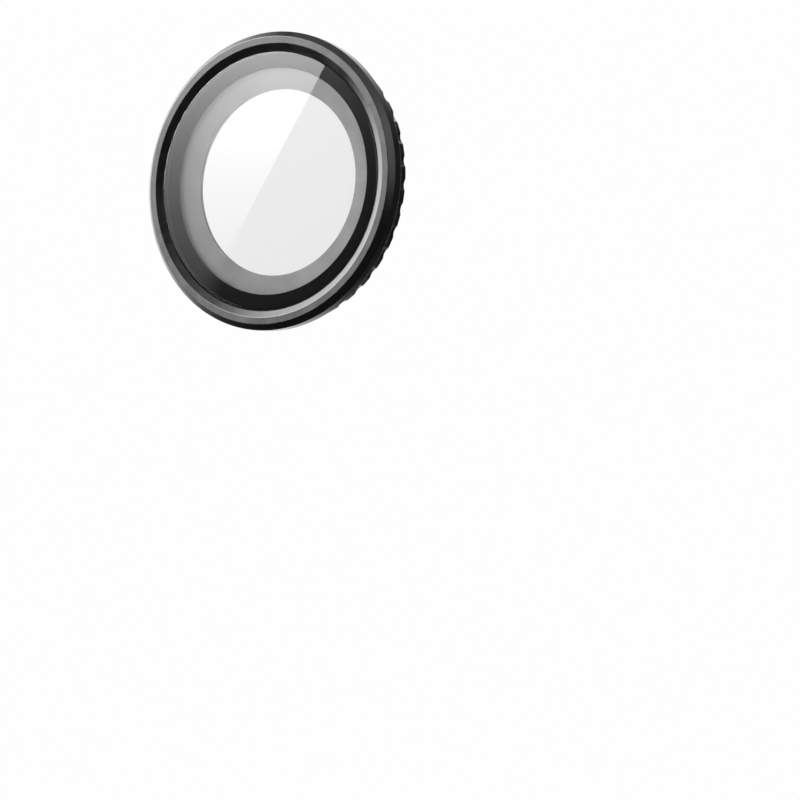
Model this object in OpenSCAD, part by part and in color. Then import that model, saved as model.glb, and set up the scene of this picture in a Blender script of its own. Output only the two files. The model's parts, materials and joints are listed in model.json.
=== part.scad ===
// Screw-on lens guard for a small pill-shaped action camera.
// A flat cover glass sits in a turned aluminium rim. Behind the rim a fluted lock ring turns freely round
// the guard's neck, as the nut of a union does, and its inner thread draws the guard onto the camera's
// round lens mount.
//
// Millimetres. The optical axis is Y: the glass looks along -Y and the camera is on the +Y side.
// The origin is on the axis, in the plane of the gasket's face, where the end of the lens mount comes.

/* [Front rim] */
// Outer diameter of the rim
rim_d = 20; // [19.6:0.1:20.6]
// Length of the rim's smooth outer band, from its front face to its rear face
rim_depth = 1.1; // [1.06:0.02:1.14]
// Bevel on the rim's outer front edge, along both faces
rim_bevel = 0.36; // [0.32:0.01:0.4]
// Radial width of the flat front land
land_w = 0.48; // [0.44:0.01:0.5]
// Radial width of the bright inner bevel, which runs down to the glass
inner_bevel_w = 0.44; // [0.4:0.01:0.48]
// Depth of the inner bevel
inner_bevel_depth = 0.2; // [0.16:0.01:0.24]

/* [Cover glass] */
// Thickness of the glass
glass_t = 0.78; // [0.74:0.01:0.8]
// How far the glass lies behind the front land
glass_recess = 0.15; // [0.12:0.01:0.16]
// Chamfer on the glass's front edge, along both faces
glass_chamfer = 0.06; // [0.04:0.01:0.1]
// Inner diameter of the black border printed on the back of the glass
border_inner_d = 15.18; // [14.8:0.02:15.6]

/* [Inner parts] */
// Clear opening through the trim ring
clear_d = 12.5; // [12:0.1:12.6]
// Depth of the trim ring's inner edge behind the front land
trim_depth = 1.53; // [1.5:0.01:1.56]
// Thickness of the trim ring at its inner edge
trim_t = 0.22; // [0.2:0.01:0.24]
// How far the trim ring's dished face slopes back from its outer edge to its inner edge
trim_dish = 0.42; // [0.36:0.02:0.46]
// Bore of the neck tube, wide enough to stay out of sight behind the trim ring
tube_bore_d = 14.56; // [14.5:0.02:14.66]
// Wall of the neck tube
tube_wall = 0.27; // [0.24:0.01:0.3]

/* [Lock ring] */
// Outer diameter over the grip
grip_d = 19; // [18.9:0.05:19.3]
// Number of grip flutes
flute_count = 38; // [30:1:44]
// Depth of a grip flute
flute_depth = 0.13; // [0.1:0.01:0.16]
// Radius of a grip flute
flute_r = 0.76; // [0.7:0.02:0.84]
// Depth of the grip's rear edge behind the front land
grip_rear_depth = 2.33; // [2.25:0.01:2.4]
// Nominal diameter of the mounting thread inside the ring
thread_d = 16.2; // [16.1:0.05:16.3]
// Length of the threaded sleeve behind the shoulder
sleeve_l = 1.1; // [1.05:0.01:1.2]

/* [Seal] */
// Thickness of the gasket that the camera's lens mount bears on
gasket_t = 0.22; // [0.18:0.01:0.24]

/* [Hidden] */
$fn = 128;

// Depths are measured back from the front land. The gasket's face places the origin.
flange_rear_depth = 3.04;
seat_depth = flange_rear_depth + gasket_t;

// Clearances
run_gap = 0.05;      // radial and axial, between the lock ring and what it turns on
fit_gap = 0.01;      // between a screwed or pushed-in piece and its seat
parting_gap = 0.08;  // open line between the rim and the grip
small_chamfer = 0.08;
overcut = 1;         // how far a cutter runs past what it cuts

// Rim and the cup behind it
rim_r = rim_d / 2;
land_outer_r = rim_r - rim_bevel;
land_inner_r = land_outer_r - land_w;
pocket_r = land_inner_r - inner_bevel_w;
cup_wall = 0.16;     // the cup stands this much outside the glass pocket
cup_r = pocket_r + cup_wall;
shelf_w = 0.59;
shelf_r = pocket_r - shelf_w;

// Glass stack, front to back: glass, printed border, tape, shelf
glass_r = pocket_r - 0.06;
glass_rear_depth = glass_recess + glass_t;
glass_rear_chamfer = 0.08;
border_t = 0.03;
border_outer_r = glass_r - glass_rear_chamfer;
tape_t = 0.04;
tape_inset = 0.03;
border_rear_depth = glass_rear_depth + border_t;
shelf_depth = border_rear_depth + tape_t;
bead_front = max(glass_recess + glass_chamfer, inner_bevel_depth) + 0.1;
bead_drop = 0.05;    // the bead's top slopes down from the pocket wall to the glass
bead_l = 0.5;

// Floor and neck tube
trim_outer_r = shelf_r - 0.03;
trim_chamfer = 0.05;
clear_r = clear_d / 2;
floor_depth = trim_depth + trim_t;
floor_rear_depth = 2.35;
tube_bore_r = tube_bore_d / 2;
tube_r = tube_bore_r + tube_wall;
tube_front_depth = floor_depth + 0.03;
flange_front_depth = 2.82;
spanner_slot_w = 1.2;
spanner_slot_l = 0.3;

// Lock ring
grip_r = grip_d / 2;
grip_front_depth = rim_depth + parting_gap;
skirt_bore_r = cup_r + run_gap;
lip_front_depth = floor_rear_depth + run_gap;
washer_t = 0.1;
lip_rear_depth = flange_front_depth - washer_t - run_gap;
lip_bore_r = tube_r + run_gap;
shoulder_r = grip_r - 0.6;
shoulder_depth = 2.8;
rear_depth = shoulder_depth + sleeve_l;
thread_crest_r = thread_d / 2 - 0.19;
thread_front_depth = 3.2;
relief_r = thread_d / 2 + 0.02;     // room for the flange, and run-out for the thread
sleeve_r = thread_d / 2 + 0.35;
lead_chamfer = 0.15;

// Flange and gasket, inside the lock ring
flange_r = thread_crest_r - 0.06;
gasket_outer_r = flange_r - 0.05;
gasket_inner_r = tube_bore_r + 0.12;
gasket_bevel = 0.05;

// A point of a turned outline: radius from the axis, and depth behind the front land
function at(r, depth) = [r, seat_depth - depth];

// Turns an outline about the optical axis, with its front towards -Y
module turned(outline) {
    rotate([90, 0, 0])
        rotate_extrude()
            polygon(outline);
}

// A plain ring between two radii and two depths
module plain_ring(inner_r, outer_r, front, rear) {
    turned([at(inner_r, front), at(outer_r, front), at(outer_r, rear), at(inner_r, rear)]);
}

// Rim, glass pocket, shelf and tapped floor, in one turned piece
module bezel() {
    color("dimgray")
        turned([
            at(land_inner_r, 0),
            at(land_outer_r, 0),
            at(rim_r, rim_bevel),
            at(rim_r, rim_depth - small_chamfer),
            at(rim_r - small_chamfer, rim_depth),
            at(cup_r, rim_depth),
            at(cup_r, floor_rear_depth - small_chamfer),
            at(cup_r - small_chamfer, floor_rear_depth),
            at(tube_r + fit_gap, floor_rear_depth),
            at(tube_r + fit_gap, floor_depth),
            at(shelf_r, floor_depth),
            at(shelf_r, shelf_depth),
            at(pocket_r, shelf_depth),
            at(pocket_r, inner_bevel_depth)
        ]);
}

// Flat cover glass with a ground front chamfer
module cover_glass() {
    color("lightcyan", 0.35)
        turned([
            at(0, glass_recess),
            at(glass_r - glass_chamfer, glass_recess),
            at(glass_r, glass_recess + glass_chamfer),
            at(glass_r, glass_rear_depth - glass_rear_chamfer),
            at(glass_r - glass_rear_chamfer, glass_rear_depth),
            at(0, glass_rear_depth)
        ]);
}

// Black ink border on the back of the glass
module printed_border() {
    color("black")
        plain_ring(border_inner_d / 2, border_outer_r, glass_rear_depth, border_rear_depth);
}

// Adhesive tape between the printed border and the shelf
module glass_tape() {
    color("gray")
        plain_ring(shelf_r + tape_inset, border_outer_r - tape_inset, border_rear_depth, shelf_depth);
}

// Sealant bead in the gap round the glass
module edge_bead() {
    color("black")
        turned([
            at(pocket_r, bead_front),
            at(pocket_r, bead_front + bead_l),
            at(glass_r, bead_front + bead_l),
            at(glass_r, bead_front + bead_drop)
        ]);
}

// Dished grey ring seen through the glass, which covers the joint of the floor and the neck tube
module trim_ring() {
    color("silver")
        turned([
            at(clear_r + trim_chamfer, trim_depth),
            at(trim_outer_r, trim_depth - trim_dish),
            at(trim_outer_r, floor_depth),
            at(clear_r, floor_depth),
            at(clear_r, trim_depth + trim_chamfer)
        ]);
}

// Flanged tube screwed into the floor from behind. Its flange holds the lock ring on and carries the gasket.
module neck_tube() {
    color("darkslategray")
        difference() {
            turned([
                at(tube_bore_r, tube_front_depth),
                at(tube_r, tube_front_depth),
                at(tube_r, flange_front_depth),
                at(flange_r, flange_front_depth),
                at(flange_r, flange_rear_depth - small_chamfer),
                at(flange_r - small_chamfer, flange_rear_depth),
                at(tube_bore_r, flange_rear_depth)
            ]);
            // Two spanner slots across the tube's front end
            translate([0, tube_front_depth - seat_depth, 0])
                cube([2 * tube_r + overcut, 2 * spanner_slot_l, spanner_slot_w], center = true);
        }
}

// Thin low-friction washer between the flange and the lock ring's lip
module slip_washer() {
    color("ivory")
        plain_ring(tube_r + fit_gap, flange_r - small_chamfer, flange_front_depth - washer_t, flange_front_depth);
}

// One grip flute's cutter, at the top of the ring
module flute_cutter() {
    translate([0, 0, grip_r - flute_depth + flute_r])
        rotate([90, 0, 0])
            cylinder(r = flute_r, h = 2 * rear_depth, center = true);
}

// Fluted grip, shoulder and sleeve with an inner thread, turned as one ring that spins round the cup and neck
module lock_ring() {
    color("darkslategray")
        difference() {
            turned([
                at(skirt_bore_r, grip_front_depth),
                at(grip_r - small_chamfer, grip_front_depth),
                at(grip_r, grip_front_depth + small_chamfer),
                at(grip_r, grip_rear_depth),
                at(shoulder_r, shoulder_depth),
                at(sleeve_r, shoulder_depth),
                at(sleeve_r, rear_depth - lead_chamfer),
                at(sleeve_r - lead_chamfer, rear_depth),
                at(thread_crest_r + lead_chamfer, rear_depth),
                at(thread_crest_r, rear_depth - lead_chamfer),
                at(thread_crest_r, thread_front_depth),
                at(relief_r, thread_front_depth),
                at(relief_r, lip_rear_depth),
                at(lip_bore_r, lip_rear_depth),
                at(lip_bore_r, lip_front_depth),
                at(skirt_bore_r, lip_front_depth)
            ]);
            for (i = [0 : flute_count - 1])
                rotate([0, i * 360 / flute_count, 0])
                    flute_cutter();
        }
}

// Rubber gasket on the flange, which seals against the end of the camera's lens mount
module seat_gasket() {
    color("black")
        turned([
            at(gasket_inner_r, flange_rear_depth),
            at(gasket_outer_r, flange_rear_depth),
            at(gasket_outer_r, seat_depth - gasket_bevel),
            at(gasket_outer_r - gasket_bevel, seat_depth),
            at(gasket_inner_r + gasket_bevel, seat_depth),
            at(gasket_inner_r, seat_depth - gasket_bevel)
        ]);
}

bezel();
cover_glass();
printed_border();
glass_tape();
edge_bead();
trim_ring();
neck_tube();
slip_washer();
lock_ring();
seat_gasket();
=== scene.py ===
"""The looks of a screw-on lens guard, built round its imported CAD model.

Every piece is turned afresh, finely and with eased edges, from the outline that the CAD solid has, so it
has the CAD's exact sizes. Metres. The optical axis is Y, and the glass looks along -Y.
"""

import json
import math

import bpy
from mathutils import Matrix, Vector


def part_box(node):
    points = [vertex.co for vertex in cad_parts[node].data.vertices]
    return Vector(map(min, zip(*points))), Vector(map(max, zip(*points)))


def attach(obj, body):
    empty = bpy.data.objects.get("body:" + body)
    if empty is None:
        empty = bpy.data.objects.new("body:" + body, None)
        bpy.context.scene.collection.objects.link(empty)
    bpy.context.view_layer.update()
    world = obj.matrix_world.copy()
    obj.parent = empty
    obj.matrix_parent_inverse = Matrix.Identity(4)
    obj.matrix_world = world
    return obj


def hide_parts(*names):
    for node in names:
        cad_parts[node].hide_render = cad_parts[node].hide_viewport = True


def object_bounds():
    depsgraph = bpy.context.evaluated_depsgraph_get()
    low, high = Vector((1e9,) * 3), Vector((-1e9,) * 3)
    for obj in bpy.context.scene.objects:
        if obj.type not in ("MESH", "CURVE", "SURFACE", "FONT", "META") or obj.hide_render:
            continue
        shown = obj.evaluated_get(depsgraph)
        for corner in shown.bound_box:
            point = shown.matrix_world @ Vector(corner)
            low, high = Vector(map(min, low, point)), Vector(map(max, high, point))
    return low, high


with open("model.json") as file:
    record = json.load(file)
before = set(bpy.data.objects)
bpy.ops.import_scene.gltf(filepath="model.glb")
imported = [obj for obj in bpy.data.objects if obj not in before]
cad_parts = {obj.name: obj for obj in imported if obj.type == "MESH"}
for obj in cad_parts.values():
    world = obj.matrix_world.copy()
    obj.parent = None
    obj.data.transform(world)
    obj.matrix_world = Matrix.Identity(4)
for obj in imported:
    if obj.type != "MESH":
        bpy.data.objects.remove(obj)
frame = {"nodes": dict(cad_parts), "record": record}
cad_low, cad_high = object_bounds()

MM = 0.001
RECORD = frame["record"]
BODY_OF = {node: body for body, nodes in RECORD["behaviour"]["bodies"].items() for node in nodes}

# ---------------------------------------------------------------- camera

FRONT_CENTRE = Vector((0, cad_low.y, 0))
CAMERA_AZIMUTH = math.radians(35.1)
CAMERA_ELEVATION = math.radians(-8.1)
CAMERA_DISTANCE = 250 * MM
CAMERA_LENS = 169                  # focal length in millimetres, as Blender takes it

# The photograph shows the ring at its upper left: the aim lies this far right of it and below it
AIM_RIGHT = 8.94 * MM
AIM_DOWN = 14.61 * MM

TO_CAMERA = Vector((math.sin(CAMERA_AZIMUTH) * math.cos(CAMERA_ELEVATION),
                    -math.cos(CAMERA_AZIMUTH) * math.cos(CAMERA_ELEVATION),
                    math.sin(CAMERA_ELEVATION)))
VIEW_RIGHT = Vector((math.cos(CAMERA_AZIMUTH), math.sin(CAMERA_AZIMUTH), 0))
VIEW_UP = TO_CAMERA.cross(VIEW_RIGHT)


def add_camera():
    data = bpy.data.cameras.new("camera")
    data.lens = CAMERA_LENS
    data.clip_start = 0.01
    data.clip_end = 10
    camera = bpy.data.objects.new("camera", data)
    bpy.context.scene.collection.objects.link(camera)
    place = FRONT_CENTRE + TO_CAMERA * CAMERA_DISTANCE
    aim = FRONT_CENTRE + VIEW_RIGHT * AIM_RIGHT - VIEW_UP * AIM_DOWN
    turn = (aim - place).to_track_quat("-Z", "Y").to_matrix().to_4x4()
    camera.matrix_world = Matrix.Translation(place) @ turn
    bpy.context.scene.camera = camera


# ---------------------------------------------------------------- shader nodes

def new_tree(owner):
    owner.use_nodes = True
    owner.node_tree.nodes.clear()
    return owner.node_tree


def add(tree, kind, inputs=(), **settings):
    """A node with its settings. Its sockets get values, or links from other nodes' sockets."""
    made = tree.nodes.new(kind)
    for key, value in settings.items():
        setattr(made, key, value)
    for key, value in dict(inputs).items():
        if isinstance(value, bpy.types.NodeSocket):
            tree.links.new(value, made.inputs[key])
        else:
            made.inputs[key].default_value = value
    return made


def calculate(tree, operation, a, b=0.0):
    return add(tree, "ShaderNodeMath", {0: a, 1: b}, operation=operation).outputs[0]


def remap(tree, value, low, high, to_low, to_high):
    """Smoothly takes low..high to to_low..to_high, and stays level beyond them."""
    inputs = {"Value": value, "From Min": low, "From Max": high, "To Min": to_low, "To Max": to_high}
    return add(tree, "ShaderNodeMapRange", inputs, interpolation_type="SMOOTHSTEP").outputs["Result"]


def blend(tree, factor, a, b):
    """From colour a to colour b."""
    return add(tree, "ShaderNodeMix", {0: factor, 6: a, 7: b}, data_type="RGBA").outputs[2]


def dot(tree, vector, other):
    return add(tree, "ShaderNodeVectorMath", {0: vector, 1: other}, operation="DOT_PRODUCT").outputs["Value"]


def noise(tree, vector, scale, detail=3.0, roughness=0.55):
    inputs = {"Vector": vector, "Scale": scale, "Detail": detail, "Roughness": roughness}
    return add(tree, "ShaderNodeTexNoise", inputs).outputs["Fac"]


def surface_point(tree):
    """The surface point in millimetres, in the piece's own frame."""
    point = add(tree, "ShaderNodeTexCoord").outputs["Object"]
    return add(tree, "ShaderNodeVectorMath", {0: point, "Scale": 1 / MM}, operation="SCALE").outputs[0]


def turning_marks(tree, point):
    """Fine lines round the axis, as a lathe tool leaves them: noise that changes along the outline only."""
    flat = add(tree, "ShaderNodeVectorMath", {0: point, 1: (1, 0, 1)}, operation="MULTIPLY").outputs[0]
    radius = add(tree, "ShaderNodeVectorMath", {0: flat}, operation="LENGTH").outputs["Value"]
    along = add(tree, "ShaderNodeSeparateXYZ", {0: point}).outputs["Y"]
    on_outline = add(tree, "ShaderNodeCombineXYZ", {"X": radius, "Y": along}).outputs[0]
    return noise(tree, on_outline, scale=14.0, detail=5.0, roughness=0.75)


# ---------------------------------------------------------------- materials

def grey(value):
    return (value, value, value, 1)


def finished(material, sockets):
    """Ends a material in a Principled shader with those sockets."""
    tree = material.node_tree
    shader = add(tree, "ShaderNodeBsdfPrincipled", sockets)
    add(tree, "ShaderNodeOutputMaterial", {"Surface": shader.outputs["BSDF"]})
    return material


GRAIN_DEPTH = 0.0015 * MM          # of the anodised layer


def anodised(name, colour, wear_and_highlight_colour, roughness, metallic, marks_depth):
    """Anodised aluminium: turning marks under a fine grain, uneven gloss, and edges painted lighter, partly
    as rubbed wear and partly as a painted edge highlight.
    """
    material = bpy.data.materials.new(name)
    tree = new_tree(material)
    point = surface_point(tree)
    grain = noise(tree, point, scale=24.0, detail=4.0, roughness=0.7)
    patches = noise(tree, point, scale=0.8)
    marks = add(tree, "ShaderNodeBump", {
        "Height": turning_marks(tree, point),
        "Strength": 0.6,
        "Distance": marks_depth,
    })
    bump = add(tree, "ShaderNodeBump", {
        "Height": grain,
        "Strength": 0.5,
        "Distance": GRAIN_DEPTH,
        "Normal": marks.outputs["Normal"],
    })
    # The edge attribute marks outer corners; the colour there is painted lighter, partly as rubbed wear and
    # partly as a painted edge highlight
    edge = add(tree, "ShaderNodeAttribute", attribute_name="edge").outputs["Fac"]
    wear_and_highlight_noise = noise(tree, point, scale=2.6, detail=5.0, roughness=0.65)
    rubbed_and_highlit = remap(tree, wear_and_highlight_noise, 0.4, 0.66, 0.2, 1.0)
    base = blend(tree, remap(tree, patches, 0.3, 0.7, 0.0, 1.0), grey(colour * 0.92), grey(colour * 1.08))
    gloss = remap(tree, patches, 0.3, 0.7, roughness - 0.03, roughness + 0.03)
    return finished(material, {
        "Base Color": blend(tree, calculate(tree, "MULTIPLY", edge, rubbed_and_highlit), base, grey(wear_and_highlight_colour)),
        "Metallic": metallic,
        "Roughness": calculate(tree, "ADD", gloss, remap(tree, grain, 0.3, 0.7, -0.02, 0.02)),
        "Normal": bump.outputs["Normal"],
    })


def polished_glass(name, reflection):
    """Clear flat glass with the faintest uneven haze. A coating takes the reflection down to 0."""
    material = bpy.data.materials.new(name)
    tree = new_tree(material)
    smears = noise(tree, surface_point(tree), scale=0.6, detail=4.0)
    return finished(material, {
        "Base Color": (0.872, 0.868, 0.874, 1),
        "Roughness": remap(tree, smears, 0.4, 0.8, 0.0, 0.012),
        "IOR": 1.52,
        "Specular Tint": grey(reflection),
        "Transmission Weight": 1.0,
    })


def ground_glass(name):
    """The glass's edge and chamfers, fine ground and so less clear."""
    material = bpy.data.materials.new(name)
    tree = new_tree(material)
    grain = noise(tree, surface_point(tree), scale=30.0, detail=4.0, roughness=0.7)
    bump = add(tree, "ShaderNodeBump", {"Height": grain, "Strength": 0.4, "Distance": 0.002 * MM})
    return finished(material, {
        "Base Color": (0.9, 0.92, 0.91, 1),
        "Roughness": remap(tree, grain, 0.3, 0.7, 0.1, 0.2),
        "IOR": 1.52,
        "Transmission Weight": 1.0,
        "Normal": bump.outputs["Normal"],
    })


def matt(name, colour, light_colour, roughness, grain_scale, grain_depth, specular=0.5):
    """Ink, rubber, tape or plastic: a speckled colour over a fine grain."""
    material = bpy.data.materials.new(name)
    tree = new_tree(material)
    point = surface_point(tree)
    grain = noise(tree, point, scale=grain_scale, detail=5.0, roughness=0.65)
    patches = noise(tree, point, scale=1.1, detail=4.0)
    bump = add(tree, "ShaderNodeBump", {"Height": grain, "Strength": 0.5, "Distance": grain_depth})
    speckle = remap(tree, calculate(tree, "MULTIPLY", grain, patches), 0.1, 0.45, 0.0, 1.0)
    return finished(material, {
        "Base Color": blend(tree, speckle, grey(colour), grey(light_colour)),
        "Roughness": remap(tree, patches, 0.3, 0.7, roughness - 0.06, roughness + 0.06),
        "Specular IOR Level": specular,
        "Normal": bump.outputs["Normal"],
    })


# The lighter edge colours given below are partly rubbed wear and partly a painted edge highlight
BLACK_ANODISED = anodised("black_anodised_finish", colour=0.054, wear_and_highlight_colour=0.075,
                          roughness=0.3, metallic=1.0, marks_depth=0.002 * MM)
GREY_ANODISED = anodised("grey_anodised_finish", colour=0.29, wear_and_highlight_colour=0.335,
                         roughness=0.5, metallic=0.0, marks_depth=0.001 * MM)
COVER_GLASS = polished_glass("cover_glass_finish", reflection=1.0)
COATED_GLASS = polished_glass("coated_glass_finish", reflection=0.0)
GROUND_GLASS = ground_glass("ground_glass_finish")
BORDER_INK = matt("border_ink_finish", colour=0.002, light_colour=0.006,
                  roughness=0.6, grain_scale=18, grain_depth=0.0005 * MM, specular=0.02)
ADHESIVE_TAPE = matt("adhesive_tape_finish", colour=0.06, light_colour=0.12,
                     roughness=0.8, grain_scale=12, grain_depth=0.01 * MM)
SEALANT = matt("sealant_finish", colour=0.01, light_colour=0.03,
               roughness=0.35, grain_scale=6, grain_depth=0.006 * MM)
WASHER_PLASTIC = matt("washer_plastic_finish", colour=0.76, light_colour=0.86,
                      roughness=0.4, grain_scale=10, grain_depth=0.004 * MM)
GASKET_RUBBER = matt("gasket_rubber_finish", colour=0.012, light_colour=0.04,
                     roughness=0.55, grain_scale=16, grain_depth=0.006 * MM)

# ---------------------------------------------------------------- outlines of the turned CAD solids

SAME = 2e-6                        # lengths closer than this, in metres, are the same
CUT_AZIMUTH = math.radians(10)     # where the outlines are taken, on a land and clear of flutes and slots
NEAR_CIRCLE = 0.98                 # a mesh edge that keeps this share of its radius is a step round the axis


def outline(node):
    """The corners of a turned CAD solid's outline, as (radius, y), anticlockwise.

    A half-plane through the optical axis cuts the solid's mesh. Where it crosses an edge that runs round
    the axis, the outline has a corner. The outline of a solid disc starts and ends on the axis.
    """
    mesh = frame["nodes"][node].data
    out = Vector((math.cos(CUT_AZIMUTH), 0, math.sin(CUT_AZIMUTH)))
    side = Vector((-out.z, 0, out.x))
    neighbours = {}
    corners = {}
    mesh.calc_loop_triangles()
    for triangle in mesh.loop_triangles:
        points = sorted((mesh.vertices[i].co for i in triangle.vertices), key=tuple)
        crossed = []
        for p, q in ((points[0], points[1]), (points[0], points[2]), (points[1], points[2])):
            p_side, q_side = p.dot(side), q.dot(side)
            if (p_side < 0) != (q_side < 0):
                crossed.append((p, q, p.lerp(q, p_side / (p_side - q_side))))
        if not any(hit.dot(out) > 0 for _, _, hit in crossed):
            continue
        keys = []
        for p, q, hit in crossed:
            key = tuple(round(c, 6) for c in (*p, *q))
            p_radius, q_radius = math.hypot(p.x, p.z), math.hypot(q.x, q.z)
            if hit.dot(out) < 0:
                key = ("axis", round(hit.y, 6))
                corners[key] = (0.0, hit.y)
            elif abs(p_radius - q_radius) + abs(p.y - q.y) < SAME and hit.dot(out) > NEAR_CIRCLE * p_radius:
                corners[key] = (p_radius, p.y)
            keys.append(key)
        if keys[0] != keys[1]:
            neighbours.setdefault(keys[0], []).append(keys[1])
            neighbours.setdefault(keys[1], []).append(keys[0])
    on_axis = [key for key in neighbours if key[0] == "axis"]
    key = on_axis[0] if on_axis else min(corners)
    path = []
    while key is not None:
        path.append(key)
        key = next((k for k in neighbours[key] if k not in path), None)
    return tidy_outline([corners[key] for key in path if key in corners])


def tidy_outline(points):
    """Drops repeated points and points on a straight line, and puts the outline anticlockwise."""
    apart = [p for i, p in enumerate(points) if math.dist(p, points[i - 1]) > SAME]
    kept = []
    area = 0
    for i, (r, y) in enumerate(apart):
        (r0, y0), (r1, y1) = apart[i - 1], apart[(i + 1) % len(apart)]
        off_line = abs((r1 - r0) * (y - y0) - (y1 - y0) * (r - r0)) / math.hypot(r1 - r0, y1 - y0)
        if off_line > SAME:
            kept.append((r, y))
        area += r0 * y - r * y0
    return kept if area > 0 else kept[::-1]


ARC_STEPS = 4
EASE_SHARE = 0.3                   # the most that an eased corner takes of the side next to it
BESIDE_ARC = 1.5                   # where the point beside an arc lies, in reaches from the corner


def eased(points, fillet):
    """The outline with every corner eased, as (radius, y, edge): edge is 1 at the top of an outer corner.

    A point beside each arc keeps the flats flat when the surface is shaded smooth.
    """
    profile = []
    for i, point in enumerate(points):
        if point[0] == 0:
            profile.append((*point, 0.0))
            continue
        corner = Vector(point)
        back = Vector(points[i - 1]) - corner
        on = Vector(points[(i + 1) % len(points)]) - corner
        reach = min(fillet, EASE_SHARE * back.length, EASE_SHARE * on.length)
        start = corner + back.normalized() * reach
        end = corner + on.normalized() * reach
        outer = 1.0 if back.y * on.x > back.x * on.y else 0.0
        profile.append((*(corner + back.normalized() * reach * BESIDE_ARC), 0.0))
        for step in range(ARC_STEPS + 1):
            t = step / ARC_STEPS
            arc_point = start * (1 - t) ** 2 + corner * 2 * t * (1 - t) + end * t ** 2
            profile.append((*arc_point, outer * 4 * t * (1 - t)))
        profile.append((*(corner + on.normalized() * reach * BESIDE_ARC), 0.0))
    return profile


def drawn_in(profile, gap):
    """A ring's profile drawn in by a hair, so its faces don't lie exactly on its neighbours' faces."""
    middle_r = (max(p[0] for p in profile) + min(p[0] for p in profile)) / 2
    middle_y = (max(p[1] for p in profile) + min(p[1] for p in profile)) / 2
    return [(r - math.copysign(gap, r - middle_r), y - math.copysign(gap, y - middle_y), edge)
            for r, y, edge in profile]


# ---------------------------------------------------------------- turned meshes

def plain(r, y, azimuth):
    return r, y


def turned(name, profile, azimuths, shape=plain):
    """A mesh turned about the optical axis. shape moves each (radius, y) as it likes at each azimuth."""
    closed = profile[0][0] > 0
    vertices = []
    edges = []
    index = {}
    for i, (r, y, edge) in enumerate(profile):
        for j, azimuth in enumerate(azimuths):
            if r == 0 and j > 0:
                index[i, j] = index[i, 0]
                continue
            index[i, j] = len(vertices)
            radius, along = shape(r, y, azimuth)
            vertices.append((radius * math.cos(azimuth), along, radius * math.sin(azimuth)))
            edges.append(edge)
    faces = []
    rows = len(profile) if closed else len(profile) - 1
    for i in range(rows):
        next_i = (i + 1) % len(profile)
        for j in range(len(azimuths)):
            next_j = (j + 1) % len(azimuths)
            ring = (index[i, j], index[next_i, j], index[next_i, next_j], index[i, next_j])
            faces.append(tuple(dict.fromkeys(ring)))
    mesh = bpy.data.meshes.new(name)
    mesh.from_pydata(vertices, [], faces)
    mesh.attributes.new("edge", "FLOAT", "POINT").data.foreach_set("value", edges)
    mesh.polygons.foreach_set("use_smooth", [True] * len(faces))
    piece = bpy.data.objects.new(name, mesh)
    bpy.context.scene.collection.objects.link(piece)
    return piece


def evenly(count):
    return [2 * math.pi * i / count for i in range(count)]


LEFT_OVER = 0.02                   # of the distance past a cutter's surface, so that no points coincide


def only_just(value, limit):
    """Just past the limit, and still in order, for a point that a cutter would have taken away."""
    return limit + (value - limit) * LEFT_OVER


# ---------------------------------------------------------------- the lock ring's flutes and thread

GRIP_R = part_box("lock_ring")[1].x
FLUTE_COUNT = 38
FLUTE_R = 0.76 * MM
FLUTE_DEPTH = 0.13 * MM
FLUTE_EASE = 0.03 * MM             # how far the rounding of a flute's long edges reaches
FLUTE_CENTRE_R = GRIP_R - FLUTE_DEPTH + FLUTE_R
FLUTE_PITCH = 2 * math.pi / FLUTE_COUNT
FLUTE_HALF_ANGLE = math.acos((GRIP_R ** 2 + FLUTE_CENTRE_R ** 2 - FLUTE_R ** 2)
                             / (2 * GRIP_R * FLUTE_CENTRE_R))
FIRST_FLUTE = math.pi / 2          # at the top

THREAD_CREST_R = 7.91 * MM
THREAD_PITCH = 0.35 * MM
THREAD_DEPTH = 0.19 * MM
THREAD_REACH = 8.3 * MM            # the thread is cut in the bore's wall, which lies inside this radius
THREAD_FADE = 0.08 * MM            # over which the thread runs out before the rear face
THREAD_STEPS = 18                  # mesh steps in one pitch
CREST_FLAT = 0.25                  # of the pitch
ROOT_FLAT = 0.125


def grip_surface(azimuth):
    """The radius of the fluted grip at an azimuth."""
    offset = (azimuth - FIRST_FLUTE + FLUTE_PITCH / 2) % FLUTE_PITCH - FLUTE_PITCH / 2
    across = FLUTE_CENTRE_R * math.sin(offset)
    if abs(across) >= FLUTE_R:
        return GRIP_R
    wall = FLUTE_CENTRE_R * math.cos(offset) - math.sqrt(FLUTE_R ** 2 - across ** 2)
    closeness = max(FLUTE_EASE - abs(wall - GRIP_R), 0) / FLUTE_EASE
    return min(wall, GRIP_R) - closeness ** 2 * FLUTE_EASE / 4


def thread_surface(y, azimuth):
    """The radius of the threaded bore's wall. The thread is right-handed."""
    ramp = abs((y / THREAD_PITCH + azimuth / (2 * math.pi)) % 1 * 2 - 1)
    cut = (ramp - CREST_FLAT) / (1 - CREST_FLAT - ROOT_FLAT)
    fade = (cad_high.y - y) / THREAD_FADE
    return THREAD_CREST_R + THREAD_DEPTH * min(max(cut, 0), 1) * min(max(fade, 0), 1)


def fluted_and_threaded(r, y, azimuth):
    grip = grip_surface(azimuth)
    if r > grip:
        return only_just(r, grip), y
    if r < THREAD_REACH and y > thread_low:
        thread = thread_surface(y, azimuth)
        return (only_just(r, thread), y) if r < thread else (r, y)
    return r, y


def flute_azimuths():
    """Azimuths for the lock ring's mesh, close together where a flute's edge turns."""
    shares = (0.25, 0.5, 0.7, 0.84, 0.93, 1.0, 1.07, 1.25, 1.6)
    offsets = sorted([0] + [sign * share * FLUTE_HALF_ANGLE for share in shares for sign in (-1, 1)])
    offsets.append(FLUTE_PITCH / 2)
    return [FIRST_FLUTE + FLUTE_PITCH * i + offset for i in range(FLUTE_COUNT) for offset in offsets]


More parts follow.
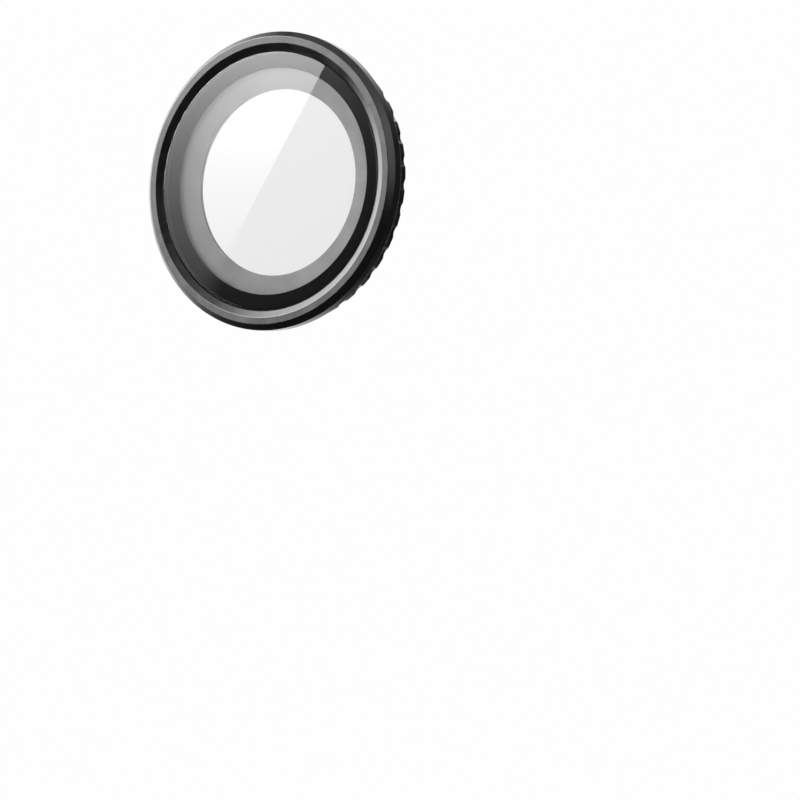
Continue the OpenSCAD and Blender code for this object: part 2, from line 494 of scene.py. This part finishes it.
def with_thread_rows(profile):
    """Adds rows along the threaded wall, so that the thread has its form."""
    rows = []
    for i, (r, y, edge) in enumerate(profile):
        rows.append((r, y, edge))
        next_r, next_y, _ = profile[(i + 1) % len(profile)]
        on_wall = abs(r - THREAD_CREST_R) < SAME and abs(next_r - THREAD_CREST_R) < SAME
        count = int(abs(next_y - y) / THREAD_PITCH * THREAD_STEPS) if on_wall else 0
        rows += [(r, y + (next_y - y) * (k + 1) / (count + 1), 0.0) for k in range(count)]
    return rows


# ---------------------------------------------------------------- the neck tube's spanner slots

TUBE_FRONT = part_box("neck_tube")[0].y
TUBE_MIDDLE_R = 7.415 * MM         # halfway through the tube's wall
SLOT_WIDTH = 1.2 * MM
SLOT_DEPTH = 0.3 * MM
SLOT_HALF_ANGLE = math.asin(SLOT_WIDTH / 2 / TUBE_MIDDLE_R)
TUBE_STEPS = 240
STEP_ROOM = math.radians(0.4)      # even steps closer than this to a slot's wall are left out


def slotted(r, y, azimuth):
    from_x = abs((azimuth + math.pi / 2) % math.pi - math.pi / 2)
    floor = TUBE_FRONT + SLOT_DEPTH
    return (r, only_just(y, floor)) if from_x < SLOT_HALF_ANGLE and y < floor else (r, y)


def slot_azimuths():
    """Even steps, with close pairs of azimuths at the slots' walls."""
    walls = [SLOT_HALF_ANGLE * share for share in (0.93, 0.999, 1.001, 1.07)]
    near = [(side + sign * wall) % (2 * math.pi)
            for side in (0, math.pi) for wall in walls for sign in (-1, 1)]
    clear = [a for a in evenly(TUBE_STEPS) if min(abs(a - b) for b in near) > STEP_ROOM]
    return sorted(near + clear)


# ---------------------------------------------------------------- the pieces

FILLETS = {
    "bezel": 0.03 * MM,
    "cover_glass": 0.02 * MM,
    "printed_border": 0.004 * MM,
    "glass_tape": 0.006 * MM,
    "edge_bead": 0.015 * MM,
    "trim_ring": 0.015 * MM,
    "neck_tube": 0.02 * MM,
    "slip_washer": 0.012 * MM,
    "lock_ring": 0.025 * MM,
    "seat_gasket": 0.03 * MM,
}
FINISHES = {
    "bezel": BLACK_ANODISED,
    "cover_glass": COVER_GLASS,
    "printed_border": BORDER_INK,
    "glass_tape": ADHESIVE_TAPE,
    "edge_bead": SEALANT,
    "trim_ring": GREY_ANODISED,
    "neck_tube": BLACK_ANODISED,
    "slip_washer": WASHER_PLASTIC,
    "lock_ring": BLACK_ANODISED,
    "seat_gasket": GASKET_RUBBER,
}
DRAWN_IN = ("printed_border", "glass_tape", "edge_bead")
DRAWN_IN_BY = 0.002 * MM
INK_BITE = 0.004 * MM              # how far the ink is moved into the glass, so no air shows between them
AZIMUTH_STEPS = 288
FLAT_FACE = 0.95                   # a glass face whose normal is this near the axis is a flat one

thread_low = min(y for r, y in outline("lock_ring") if abs(r - THREAD_CREST_R) < SAME) - SAME


def add_piece(node):
    profile = eased(outline(node), FILLETS[node])
    name = node + "_turned"
    if node in DRAWN_IN:
        profile = drawn_in(profile, DRAWN_IN_BY)
    if node == "printed_border":
        profile = [(r, y - INK_BITE, edge) for r, y, edge in profile]
    if node == "lock_ring":
        piece = turned(name, with_thread_rows(profile), flute_azimuths(), fluted_and_threaded)
    elif node == "neck_tube":
        piece = turned(name, profile, slot_azimuths(), slotted)
    else:
        piece = turned(name, profile, evenly(AZIMUTH_STEPS))
    piece.data.materials.append(FINISHES[node])
    if node == "cover_glass":
        piece.data.materials.append(COATED_GLASS)
        piece.data.materials.append(GROUND_GLASS)
        for face in piece.data.polygons:
            if abs(face.normal.y) < FLAT_FACE:
                face.material_index = 2
            elif face.normal.y > 0:
                face.material_index = 1
    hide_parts(node)
    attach(piece, BODY_OF[node])


# ---------------------------------------------------------------- studio

FLOOR_DROP = 60 * MM
FLOOR_SIDE = 1.2
WHITE = (1, 1, 1, 1)
BACKGROUND_LIGHT = 0.99
DARK_CORNERS = 0.09                # light from where no lamp is
OVERHEAD_SIDE = 0.5
OVERHEAD_POWER = 4
OVERHEAD_PLACE = (-0.1, 0.1, 0.6)

# Soft lamps: where each stands, seen from the object, half its angle in full and at its end, and its light
LAMPS = (
    ((-0.85, -0.27, 0.45), 22, 37, 8.0),
    ((0.25, -0.28, 0.93), 25, 52, 0.75),
    ((-0.60, 0.78, 0.15), 32, 52, 1.9),
    ((0.80, -0.55, 0.35), 6, 30, 1.3),
)

# The key is a graded panel that the flat glass mirrors to the camera. It has one sharp straight edge.
# Across and up are tangents of the angle from the panel's middle, as the camera sees them in the glass.
KEY_LIGHT = 2.55
KEY_GROWTH = 36.9                  # how fast the light grows upwards
KEY_MOST = 10.5
KEY_EDGE = ((-0.0055, -0.0106), (0.0159, 0.0309))
KEY_EDGE_SOFTNESS = 0.0004
KEY_EDGE_BLUR = 0.0055             # the edge is blurred this far to each side at its low end
KEY_BLUR_LOW = -0.03               # the height below which the blur is full
KEY_BLUR_HIGH = -0.008             # the height above which the edge is sharp
KEY_BEYOND_EDGE = 0.12             # share of the light just past the edge, on its dim side
KEY_BEYOND_REACH = 0.035           # how far past the edge that share fades out
KEY_FULL_ANGLE = 16
KEY_END_ANGLE = 34


def mirrored(vector):
    """As the flat glass mirrors it."""
    return Vector((vector.x, -vector.y, vector.z))


def lamp(tree, direction, centre, full, end, strength):
    facing = dot(tree, direction, Vector(centre).normalized())
    return remap(tree, facing, math.cos(math.radians(end)), math.cos(math.radians(full)), 0.0, strength)


def key_panel(tree, direction):
    middle = -mirrored(TO_CAMERA)
    ahead = dot(tree, direction, middle)
    across = calculate(tree, "DIVIDE", dot(tree, direction, mirrored(VIEW_RIGHT)), ahead)
    up = calculate(tree, "DIVIDE", dot(tree, direction, mirrored(VIEW_UP)), ahead)
    growth = calculate(tree, "EXPONENT", calculate(tree, "MULTIPLY", up, KEY_GROWTH))
    graded = calculate(tree, "MINIMUM", calculate(tree, "MULTIPLY", growth, KEY_LIGHT), KEY_MOST)
    low, high = Vector(KEY_EDGE[0]), Vector(KEY_EDGE[1])
    along = (high - low).normalized()
    from_edge = calculate(tree, "SUBTRACT",
                          calculate(tree, "MULTIPLY", up, along.x),
                          calculate(tree, "MULTIPLY", across, along.y))
    edge_at = low.y * along.x - low.x * along.y
    blur = remap(tree, up, KEY_BLUR_LOW, KEY_BLUR_HIGH, KEY_EDGE_BLUR, 0.0)
    bright_from = calculate(tree, "SUBTRACT", edge_at, blur)
    bright_to = calculate(tree, "ADD", edge_at + KEY_EDGE_SOFTNESS, blur)
    bright = remap(tree, from_edge, bright_from, bright_to, 0.0, 1.0)
    dim = remap(tree, from_edge, edge_at - KEY_BEYOND_REACH, edge_at, 0.0, KEY_BEYOND_EDGE)
    lit = calculate(tree, "MAXIMUM", bright, dim)
    shape = lamp(tree, direction, middle, KEY_FULL_ANGLE, KEY_END_ANGLE, 1.0)
    return calculate(tree, "MULTIPLY", calculate(tree, "MULTIPLY", graded, lit), shape)


def add_studio_light():
    """A soft studio round the object, with a plain white background where the camera looks past it."""
    world = bpy.data.worlds.new("studio")
    bpy.context.scene.world = world
    tree = new_tree(world)
    direction = add(tree, "ShaderNodeTexCoord").outputs["Generated"]
    light = calculate(tree, "ADD", key_panel(tree, direction), DARK_CORNERS)
    for centre, full, end, strength in LAMPS:
        light = calculate(tree, "ADD", light, lamp(tree, direction, centre, full, end, strength))
    studio = add(tree, "ShaderNodeBackground", {"Color": WHITE, "Strength": light})
    backdrop = add(tree, "ShaderNodeBackground", {"Color": WHITE, "Strength": BACKGROUND_LIGHT})
    path = add(tree, "ShaderNodeLightPath").outputs
    bounced = calculate(tree, "ADD", path["Glossy Depth"], path["Diffuse Depth"])
    straight = calculate(tree, "LESS_THAN", bounced, 0.5)
    seen = calculate(tree, "MAXIMUM", path["Is Camera Ray"],
                     calculate(tree, "MULTIPLY", path["Is Transmission Ray"], straight))
    mixed = add(tree, "ShaderNodeMixShader", {0: seen, 1: studio.outputs[0], 2: backdrop.outputs[0]})
    add(tree, "ShaderNodeOutputWorld", {"Surface": mixed.outputs[0]})


def add_overhead_lamp():
    data = bpy.data.lights.new("overhead", "AREA")
    data.shape = "SQUARE"
    data.size = OVERHEAD_SIDE
    data.energy = OVERHEAD_POWER
    light = bpy.data.objects.new("overhead", data)
    bpy.context.scene.collection.objects.link(light)
    light.location = OVERHEAD_PLACE
    light.rotation_mode = "QUATERNION"
    light.rotation_quaternion = (-light.location).to_track_quat("-Z", "Y")
    light.visible_glossy = False


def add_floor():
    material = bpy.data.materials.new("floor_paper")
    tree = new_tree(material)
    fibres = noise(tree, surface_point(tree), scale=1.5, detail=5.0, roughness=0.7)
    bump = add(tree, "ShaderNodeBump", {"Height": fibres, "Strength": 0.2, "Distance": 0.02 * MM})
    finished(material, {
        "Base Color": blend(tree, fibres, grey(0.88), grey(0.92)),
        "Roughness": 0.9,
        "Normal": bump.outputs["Normal"],
    })
    half = FLOOR_SIDE / 2
    mesh = bpy.data.meshes.new("floor")
    corners = [(-half, -half, 0), (half, -half, 0), (half, half, 0), (-half, half, 0)]
    mesh.from_pydata(corners, [], [(0, 1, 2, 3)])
    mesh.materials.append(material)
    floor = bpy.data.objects.new("floor", mesh)
    bpy.context.scene.collection.objects.link(floor)
    floor.location.z = -FLOOR_DROP
    floor.visible_glossy = False


add_camera()
add_studio_light()
add_overhead_lamp()
add_floor()
for node_name in frame["nodes"]:
    add_piece(node_name)
bpy.context.scene.view_settings.view_transform = "Standard"
